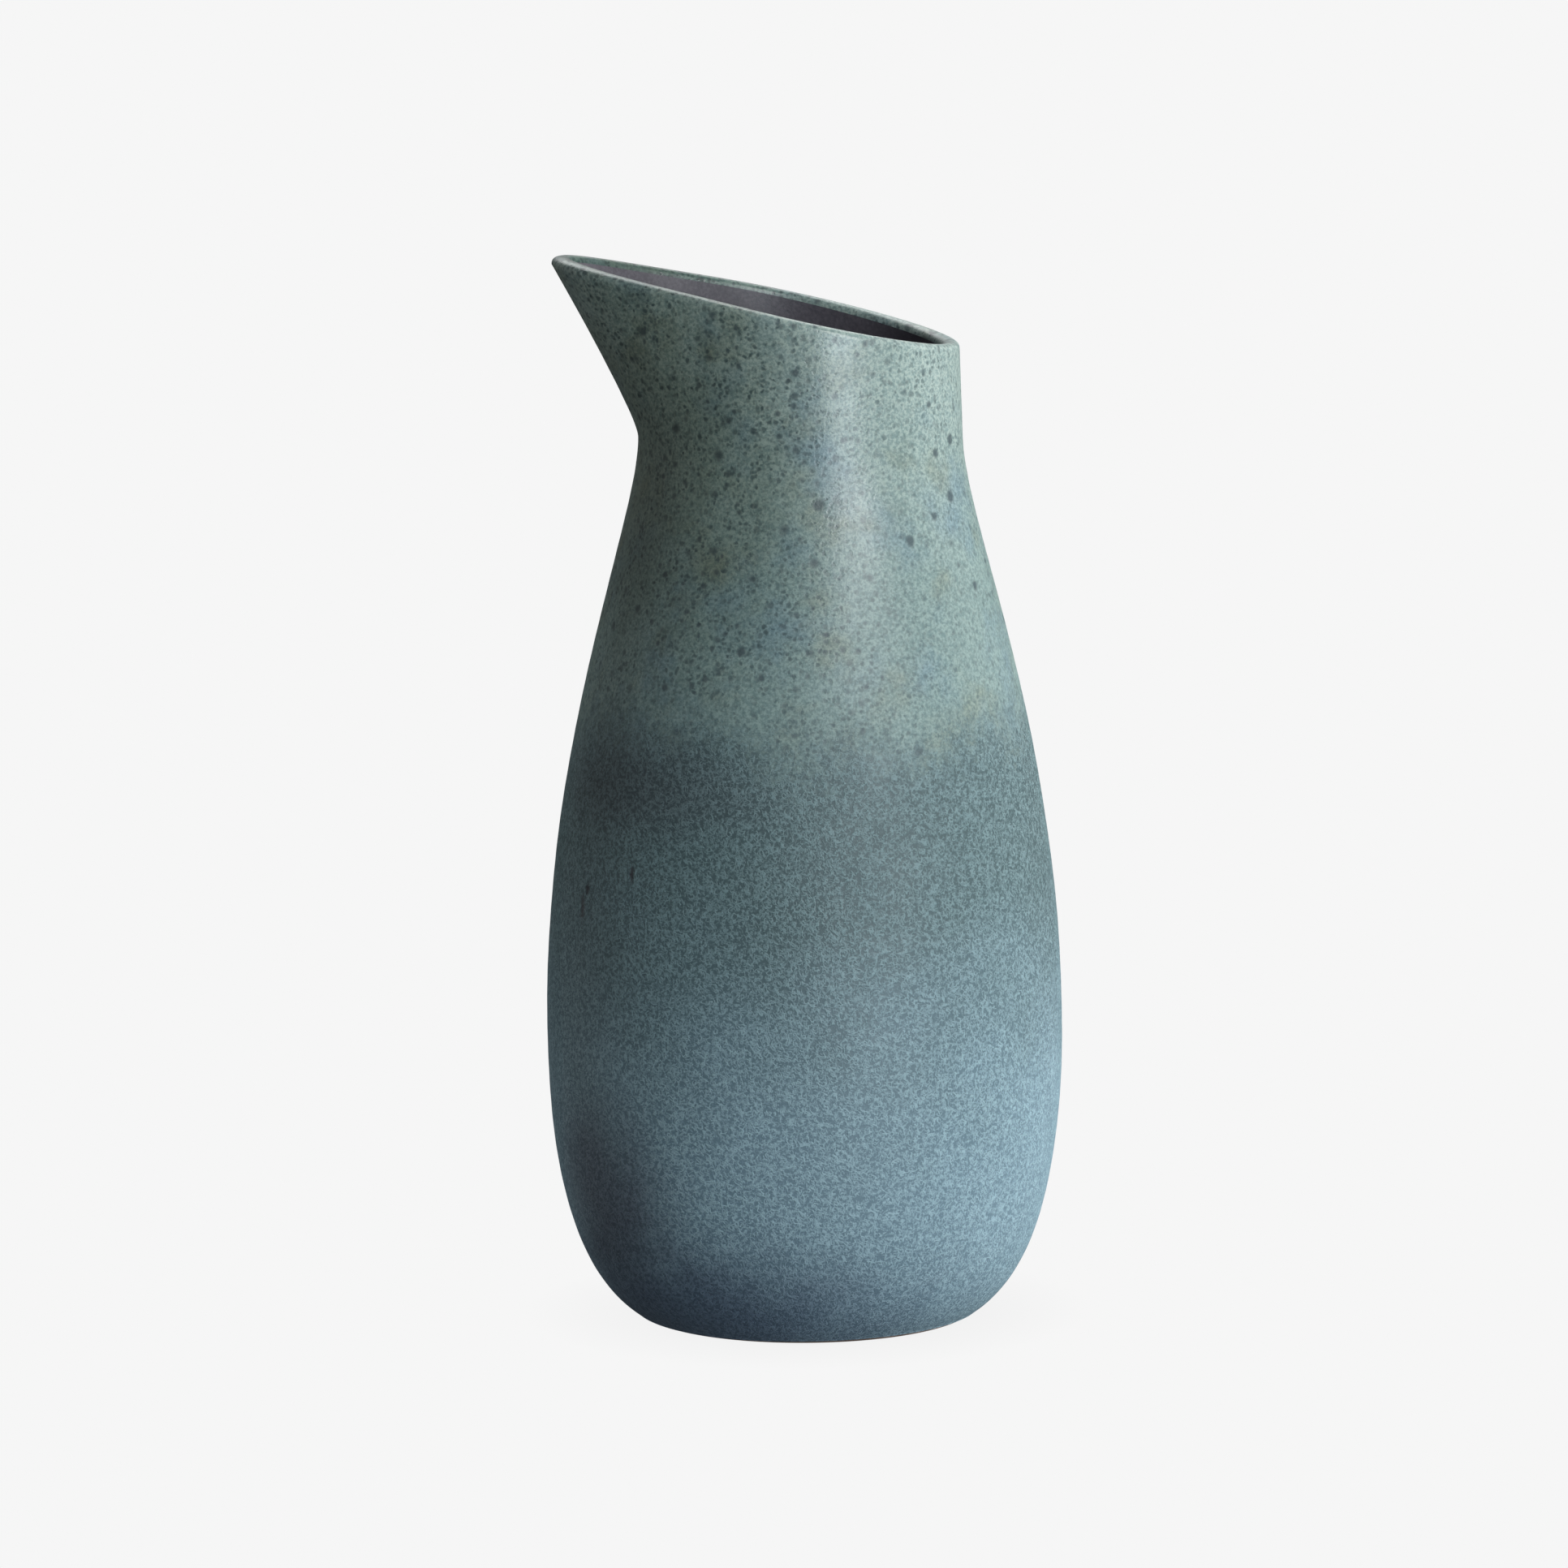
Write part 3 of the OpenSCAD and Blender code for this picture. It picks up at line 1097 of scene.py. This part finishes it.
@dataclass(frozen=True)
class DarkLiner:
    """Satin grey violet glaze of the inside."""

    name: str = "dark liner glaze"
    colour: tuple = srgb(86, 84, 91)
    deep: tuple = srgb(68, 66, 73)
    roughness: float = 0.4

    def material(self) -> bpy.types.Material:
        """Makes the glaze: a slow mottle with a fine grain.

        Returns:
            The material.
        """
        material, g, shader, place = new_material(self.name)
        cloud = g.noise(place, 18 * MM, 3.0, 0.6).outputs[0]
        grain = g.noise(place, 0.8 * MM, 2.0).outputs[0]
        share = g.math("MULTIPLY_ADD", grain, 0.5, g.math("MULTIPLY", cloud, 0.5))
        g.feed(shader.inputs["Base Color"], g.blend(g.step(share, 0.35, 0.65), self.deep, self.colour))
        g.feed(shader.inputs["Roughness"], g.between(cloud, self.roughness - 0.06, self.roughness + 0.08))
        bump = g.add("ShaderNodeBump", {"Distance": 0.04 * MM, "Height": grain})
        g.feed(shader.inputs["Normal"], bump.outputs[0])
        return material


@dataclass(frozen=True)
class FiredClay:
    """Unglazed stoneware: dull, grogged, with turning lines."""

    name: str
    light: tuple = srgb(126, 108, 96)
    dark: tuple = srgb(84, 70, 63)
    roughness: float = 0.85
    grog: Flecks = Flecks(1.3 * MM, 0.3, 0.6, 0.45)

    def material(self, effects: Effects) -> bpy.types.Material:
        """Makes the clay.

        Args:
            effects: the shared node groups.

        Returns:
            The material.
        """
        material, g, shader, place = new_material(self.name)
        cloud = g.noise(place, 11 * MM, 4.0, 0.6).outputs[0]
        grog = self.grog.scatter(g, place, effects)
        colour = g.blend(g.step(cloud, 0.3, 0.7), self.dark, self.light)
        colour = g.blend(g.math("MULTIPLY", grog.outputs["Mask"], 0.5), colour, self.dark)
        g.feed(shader.inputs["Base Color"], colour)
        g.feed(shader.inputs["Roughness"], g.between(cloud, self.roughness - 0.1, self.roughness + 0.1))
        height = g.math("MULTIPLY_ADD", grog.outputs["Mask"], 0.6, g.noise(place, 0.4 * MM, 3.0).outputs[0])
        bump = g.add("ShaderNodeBump", {"Distance": 0.08 * MM, "Height": height})
        g.feed(shader.inputs["Normal"], bump.outputs[0])
        return material


# ---------------------------------------------------------------- pieces


@dataclass
class Piece(ABC):
    """One piece of the pitcher: a closed shell that stands for a node of the frame."""

    form: PitcherForm
    name: str
    node: str
    slot: Slot
    columns: int = 560

    @property
    def angles(self) -> np.ndarray:
        """Directions of the grid's columns, once round."""
        return np.arange(self.columns) * FULL_TURN / self.columns

    @abstractmethod
    def shell(self) -> Shell:
        """Works out the piece's rings."""

    def build(self, material: bpy.types.Material) -> bpy.types.Object:
        """Makes the piece, dresses it and ties it to the frame.

        Args:
            material: its finish.

        Returns:
            The new object.
        """
        mesh = self.shell().to_mesh(self.name)
        mesh.materials.append(material)
        piece = bpy.data.objects.new(self.name, mesh)
        bpy.context.scene.collection.objects.link(piece)
        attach(piece, BODY)
        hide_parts(self.node)
        triangles = sum(len(p.vertices) - 2 for p in mesh.polygons)
        LOG.info("%s: %d triangles, stands for %s", self.name, triangles, self.node)
        return piece


@dataclass
class OuterCoat(Piece):
    """A glaze on the outside, whose outer face carries the marks of the hand."""

    marks: HandMarks = field(default_factory=HandMarks)

    def side_rings(self, places: np.ndarray) -> np.ndarray:
        """Outer face on the side, at the given places, with its relief."""
        stands_out = self.marks.relief(self.angles, self.form.side(places)[:, 1:])
        return turned(self.form.side(places[:, None], -stands_out), self.angles)

    def under_side_rings(self, places: np.ndarray) -> np.ndarray:
        """Inner face of the coat on the side, which lies on the clay."""
        return turned(self.form.side(places, self.form.glaze), self.angles)


@dataclass
class BaseCoat(OuterCoat):
    """Blue glaze from just above the table up to the meeting line."""

    bare: float = 1.2 * MM
    rows: int = 150
    under_rows: int = 12
    bead_rows: int = 5

    def shell(self) -> Shell:
        """Outer face up, inner face down, and a rounded lower edge.

        Returns:
            The closed shell.
        """
        form, glaze = self.form, self.form.glaze
        start, stop = form.place_at(self.bare, glaze), form.place_at(form.meeting, glaze)
        outer = self.side_rings(form.even_places(start, stop, self.rows))
        under = self.under_side_rings(form.even_places(start, stop, self.under_rows)[::-1])
        turn = np.linspace(0, math.pi, self.bead_rows + 2)[1:-1, None, None]
        middle, half = (under[-1] + outer[0]) / 2, (outer[0] - under[-1]) / 2
        down = np.array([0.0, 0.0, -glaze / 2])
        bead = middle - half * np.cos(turn) + down * np.sin(turn)
        rings = np.concatenate([outer, under, bead])
        return Shell(rings, Ends.JOINED, [self.rows - 1, self.rows])


@dataclass
class TopCoat(OuterCoat):
    """Speckled glaze from the meeting line up the shoulder and the neck and over the lip."""

    side_rows: int = 84
    neck_rows: int = 48
    lip_rows: int = 18
    under_rows: int = 10
    under_step: int = 4
    crowding: float = 1.2
    marks_to: float = 0.25
    lip_reach: float = 6 * MM

    def shell(self) -> Shell:
        """Up the outer face, over the lip, back under it and down the inner face.

        Returns:
            The closed shell.
        """
        form, glaze, angles = self.form, self.form.glaze, self.angles
        start = form.place_at(form.meeting, glaze)
        side = self.side_rings(form.even_places(start, THROAT, self.side_rows)[:-1])
        share = (np.linspace(0, 1, self.neck_rows) ** self.crowding)[:, None]
        faded = 1 - smooth_step(self.marks_to, 1.0, share)
        height = form.neck_face(angles, share)[..., 2]
        neck = form.neck(angles, share, -self.marks.relief(angles, height) * faded)
        turn = np.linspace(0, math.pi, self.lip_rows)[:, None]
        lip = form.lip(angles, turn[1:])
        under_lip = form.lip(angles, turn[::-1][:-1], glaze)
        under_neck = form.neck(angles, share[::-self.under_step], glaze)
        under_side = self.under_side_rings(form.even_places(start, THROAT, self.under_rows)[-2::-1])
        rings = np.concatenate([side, neck, lip, under_lip, under_neck, under_side])
        inner_edge = len(side) + len(neck) + len(lip) - 1
        steps = np.linalg.norm(np.diff(rings[:inner_edge + 1], axis=0), axis=-1)[::-1]
        near = np.zeros(rings.shape[:2])
        near[:inner_edge] = np.clip(1 - np.cumsum(steps, axis=0) / self.lip_reach, 0, 1)[::-1]
        near[inner_edge] = 1
        creases = [0, len(rings) - 1, inner_edge, inner_edge + 1]
        return Shell(rings, Ends.JOINED, creases, near)


@dataclass
class Liner(Piece):
    """Dark glaze poured over the whole inside."""

    wall_rows: int = 130
    neck_rows: int = 26
    floor_rows: int = 18
    under_step: int = 4
    rings_rise: tuple = (0.1, 0.5)
    rings_fade: tuple = (1.7, THROAT)
    ring_pitch: float = 6.5 * MM
    ring_relief: float = 0.07 * MM

    def shell(self) -> Shell:
        """Under face from the middle of the floor up to the lip, and the seen face back down.

        Returns:
            The closed shell, with a pole on each face in the middle of the floor.
        """
        form, glaze, angles = self.form, self.form.glaze, self.angles
        places = form.even_places(0.0, THROAT, self.wall_rows)
        shares = np.linspace(0, 1, self.floor_rows)[1:-1]
        share = np.linspace(0, 1, self.neck_rows)[1:, None]
        under = np.concatenate([
            turned(form.inside_floor(shares, glaze), angles),
            turned(form.inside(places[::self.under_step], glaze), angles),
            form.neck(angles, share[::-self.under_step][::-1], form.wall - glaze)])
        height = form.inside(places)[:, 1:]
        relief = self.ring_relief * np.sin(FULL_TURN * height / self.ring_pitch + angles)
        relief = relief * smooth_step(*self.rings_rise, places)[:, None]
        relief = relief * (1 - smooth_step(*self.rings_fade, places))[:, None]
        seen = np.concatenate([
            turned(form.inside_floor(shares), angles),
            turned(form.inside(places[:, None], relief), angles),
            form.neck(angles, share, form.wall)])[::-1]
        return Shell(np.concatenate([under, seen]), Ends.POLES, [len(under) - 1, len(under)])


@dataclass
class ClayBody(Piece):
    """Thrown clay body: the floor, the belly and the shoulder up to the throat."""

    columns: int = 256
    rows: int = 90
    floor_rows: int = 30
    under_rows: int = 120
    groove_end: tuple = (28 * MM, 30 * MM)
    groove_pitch: float = 2.4 * MM
    groove_depth: float = 0.08 * MM

    def shell(self) -> Shell:
        """Under the floor with its turning grooves, up the outside, and down the inside.

        Returns:
            The closed shell, with a pole on each face of the floor.
        """
        form, glaze, angles = self.form, self.form.glaze, self.angles
        start = form.place_at(form.foot_height, glaze)
        outer = turned(form.side(form.even_places(start, THROAT, self.rows), glaze), angles)
        reach = np.linspace(0, np.linalg.norm(outer[0, 0, :2]), self.under_rows)[1:-1]
        groove = self.groove_depth * (1 - np.cos(FULL_TURN * reach / self.groove_pitch)) / 2
        groove = groove * (1 - smooth_step(*self.groove_end, reach))
        under = turned(np.stack([reach, form.foot_height + groove], axis=-1), angles)
        places = form.even_places(0.0, THROAT, self.rows)[::-1]
        inner = turned(form.inside(places, glaze), angles)
        floor = turned(form.inside_floor(np.linspace(0, 1, self.floor_rows)[1:-1][::-1], glaze), angles)
        rings = np.concatenate([under, outer, inner, floor])
        throat = len(under) + len(outer)
        return Shell(rings, Ends.POLES, [len(under), throat - 1, throat])


@dataclass
class ClayNeck(Piece):
    """Clay neck with the slanted mouth and the pulled spout, luted on at the throat."""

    columns: int = 384
    neck_rows: int = 30
    lip_rows: int = 12

    def shell(self) -> Shell:
        """Up the outside, over the lip and down the inside.

        Returns:
            The closed shell.
        """
        form, glaze, angles = self.form, self.form.glaze, self.angles
        share = np.linspace(0, 1, self.neck_rows)[:, None]
        turn = np.linspace(0, math.pi, self.lip_rows)[1:-1, None]
        outer = form.neck(angles, share, glaze)
        lip = form.lip(angles, turn, glaze)
        inner = form.neck(angles, share[::-1], form.wall - glaze)
        rings = np.concatenate([outer, lip, inner])
        return Shell(rings, Ends.JOINED, [0, len(rings) - 1])


@dataclass
class FootRing(Piece):
    """Turned ring of bare clay, the only part that touches the table."""

    columns: int = 384
    width: float = 4.5 * MM
    rounding: float = 0.6 * MM
    edge_rows: int = 7
    outer_rows: int = 12
    flat_rows: int = 3

    def shell(self) -> Shell:
        """Inner face down, a flat standing face between rounded edges, and the outer face up.

        Returns:
            The closed shell.
        """
        form = self.form
        stand_out = form.base_radius - form.glaze - self.rounding
        stand_in = stand_out - self.width
        turn = np.linspace(0, math.pi / 2, self.edge_rows)
        inner_edge = np.stack([stand_in - self.rounding * np.cos(turn),
                               self.rounding * (1 - np.sin(turn))], axis=-1)
        start, stop = form.place_at(self.rounding, form.glaze), form.place_at(form.foot_height, form.glaze)
        outer = form.side(form.even_places(start, stop, self.outer_rows), form.glaze)
        lead = np.array([[stand_out + (outer[0, 0] - stand_out) * math.sin(t),
                          self.rounding * (1 - math.cos(t))] for t in turn[:-1]])
        top = np.array([[stand_in - self.rounding, form.foot_height]])
        across = np.linspace(stand_in, stand_out, self.flat_rows + 2)[1:-1]
        flat = np.stack([across, np.zeros_like(across)], axis=-1)
        down = np.linspace(form.foot_height, self.rounding, self.flat_rows + 2)[1:-1]
        wall = np.stack([np.full_like(down, stand_in - self.rounding), down], axis=-1)
        profile = np.concatenate([top, wall, inner_edge, flat, lead, outer])
        return Shell(turned(profile, self.angles), Ends.JOINED, [0, len(profile) - 1])


# ---------------------------------------------------------------- studio


@dataclass(frozen=True)
class Softbox:
    """Rectangular lamp that looks at the pitcher. Its azimuth is from the front to the right."""

    name: str
    azimuth: float
    elevation: float
    distance: float
    width: float
    height: float
    power: float
    colour: tuple = (1.0, 1.0, 1.0)
    aim: float = 0.13
    mirrored: bool = True

    def place(self) -> None:
        """Adds the lamp, which the camera does not see."""
        lamp = bpy.data.lights.new(self.name, "AREA")
        lamp.shape = "RECTANGLE"
        lamp.size, lamp.size_y = self.width, self.height
        lamp.energy = self.power
        lamp.color = self.colour
        box = bpy.data.objects.new(self.name, lamp)
        azimuth, elevation = math.radians(self.azimuth), math.radians(self.elevation)
        way = Vector((math.sin(azimuth) * math.cos(elevation),
                      -math.cos(azimuth) * math.cos(elevation), math.sin(elevation)))
        box.location = Vector((0.0, 0.0, self.aim)) + way * self.distance
        box.rotation_euler = (-way).to_track_quat("-Z", "Y").to_euler()
        box.visible_camera = False
        box.visible_glossy = self.mirrored
        bpy.context.scene.collection.objects.link(box)


@dataclass(frozen=True)
class Studio:
    """Pale floor and background, soft lamps and the camera."""

    paper: float = 0.9216
    from_above: float = 0.17
    from_below: float = 0.04
    floor_size: float = 60.0
    contact_reach: float = 0.02
    contact_shade: float = 0.05
    contact_samples: int = 16
    horizon: tuple = (-0.2, 0.4)
    camera_distance: float = 1.967
    camera_height: float = 0.4181
    camera_aside: float = -0.0044
    pitch: float = 8.488
    roll: float = -0.476
    lens: float = 196.3
    lamps: tuple = (
        Softbox("key softbox", 38, 28, 1.2, 0.3, 0.8, 7.0),
        Softbox("sheen strip", 29, -2, 1.2, 0.3, 0.8, 7.2, (0.82, 0.93, 1.0)),
        Softbox("side wall", 98, 20, 1.2, 0.9, 0.9, 10.5, mirrored=False),
        Softbox("back wall", 130, 26, 1.2, 0.9, 0.9, 13.5, mirrored=False),
        Softbox("floor bounce", 112, -42, 1.2, 0.8, 0.5, 6.4, mirrored=False),
        Softbox("back fill", 186, 48, 1.2, 0.9, 0.9, 6.0),
        Softbox("left reflector", -108, -8, 1.2, 1.6, 1.0, 4.2, (0.93, 0.97, 1.0), mirrored=False),
    )

    def build(self) -> None:
        """Makes the world, the floor, the lamps and the camera."""
        bpy.context.scene.view_settings.view_transform = "Standard"
        self.make_world()
        self.make_floor()
        for lamp in self.lamps:
            lamp.place()
        self.make_camera()

    def make_world(self) -> None:
        """Pale to the camera; to the pitcher, dim light from above and from a floor below."""
        world = bpy.data.worlds.new("studio")
        world.use_nodes = True
        bpy.context.scene.world = world
        g = Graph(world.node_tree)
        background = world.node_tree.nodes["Background"]
        way = g.add("ShaderNodeSeparateXYZ", {0: g.add("ShaderNodeTexCoord").outputs["Generated"]})
        fill = g.between(g.step(way.outputs[2], *self.horizon), self.from_below, self.from_above)
        seen = g.add("ShaderNodeLightPath").outputs["Is Camera Ray"]
        g.feed(background.inputs["Color"], (1.0, 1.0, 1.0, 1.0))
        g.feed(background.inputs["Strength"], g.between(seen, fill, self.paper))

    def make_floor(self) -> None:
        """Adds the floor: seen by the camera from above only, with a soft shade at the foot."""
        half = self.floor_size / 2
        mesh = bpy.data.meshes.new("floor")
        corners = [(-half, -half, 0), (half, -half, 0), (half, half, 0), (-half, half, 0)]
        mesh.from_pydata(corners, [], [(0, 1, 2, 3)])
        floor = bpy.data.objects.new("floor", mesh)
        bpy.context.scene.collection.objects.link(floor)
        material, g, shader, _ = new_material("pale floor")
        output = next(n for n in g.tree.nodes if n.type == "OUTPUT_MATERIAL")
        g.tree.nodes.remove(shader)
        open_share = g.add("ShaderNodeAmbientOcclusion", {"Distance": self.contact_reach},
                           samples=self.contact_samples)
        strength = g.between(open_share.outputs["AO"], self.paper * (1 - self.contact_shade), self.paper)
        paper = g.add("ShaderNodeEmission", {"Color": (1.0, 1.0, 1.0, 1.0), "Strength": strength})
        under = g.add("ShaderNodeNewGeometry").outputs["Backfacing"]
        clear = g.add("ShaderNodeBsdfTransparent")
        mixed = g.add("ShaderNodeMixShader", {0: under, 1: paper.outputs[0], 2: clear.outputs[0]})
        g.feed(output.inputs["Surface"], mixed.outputs[0])
        mesh.materials.append(material)
        for kind in ("diffuse", "glossy", "transmission", "shadow", "volume_scatter"):
            setattr(floor, f"visible_{kind}", False)

    def make_camera(self) -> None:
        """Adds the camera, level with the shoulder and far enough away for a quiet view."""
        data = bpy.data.cameras.new("camera")
        data.lens = self.lens
        data.clip_end = 100.0
        camera = bpy.data.objects.new("camera", data)
        tilt = Matrix.Rotation(math.radians(90 - self.pitch), 4, "X")
        roll = Matrix.Rotation(math.radians(self.roll), 4, "Z")
        place = Matrix.Translation((self.camera_aside, -self.camera_distance, self.camera_height))
        camera.matrix_world = place @ tilt @ roll
        bpy.context.scene.collection.objects.link(camera)
        bpy.context.scene.camera = camera


# ---------------------------------------------------------------- assembly


def main() -> None:
    """Builds the pitcher piece by piece, then the studio."""
    logging.basicConfig(level=logging.INFO, format="%(name)s: %(message)s")
    form = PitcherForm.from_frame()
    effects = Effects()
    blue = OuterGlaze("blue glaze").material(form, effects)
    speckled = OuterGlaze("speckled glaze").material(form, effects)
    bare = FiredClay("bare clay").material(effects)
    stoneware = FiredClay("stoneware").material(effects)
    FootRing(form, "foot_ring_turned", "foot_ring", Slot.BARE_CLAY).build(bare)
    ClayBody(form, "body_clay", "body", Slot.STONEWARE).build(stoneware)
    ClayNeck(form, "neck_clay", "neck_and_spout", Slot.STONEWARE).build(stoneware)
    BaseCoat(form, "base_glaze_coat", "base_glaze", Slot.BLUE_GLAZE).build(blue)
    TopCoat(form, "top_glaze_coat", "top_glaze", Slot.SPECKLED_GLAZE).build(speckled)
    Liner(form, "liner_coat", "liner_glaze", Slot.DARK_GLAZE).build(DarkLiner().material())
    Studio().build()


if __name__ == "__main__":
    main()
